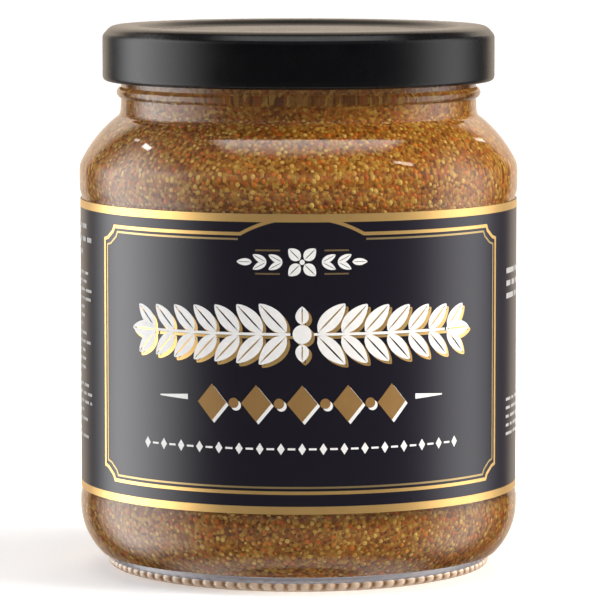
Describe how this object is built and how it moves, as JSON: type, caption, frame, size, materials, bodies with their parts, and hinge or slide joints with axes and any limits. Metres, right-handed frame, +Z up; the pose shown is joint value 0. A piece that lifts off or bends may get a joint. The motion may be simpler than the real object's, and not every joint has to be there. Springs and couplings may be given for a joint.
{
  "type": "mustard jar",
  "caption": "Clear glass jar of wholegrain mustard with a black twist-off metal lid and a black wrap-round label ruled in gold.",
  "frame": {"origin": "centre of the flat ring that the jar stands on", "axes": "+Z up along the jar's axis, -Y towards the middle of the label's front, +X to the right as seen from the front"},
  "size_m": [0.074, 0.074, 0.0918],
  "materials": {
    "glass": "clear polished glass",
    "mustard": "moist ochre paste full of yellow and brown seeds",
    "lid": "black lacquered tinplate, satin gloss",
    "label": "black satin paper printed with gold and white"
  },
  "bodies": {
    "root": {"jar_glass": "glass", "mustard": "mustard", "lid": "lid", "label": "label"}
  },
  "joints": []
}
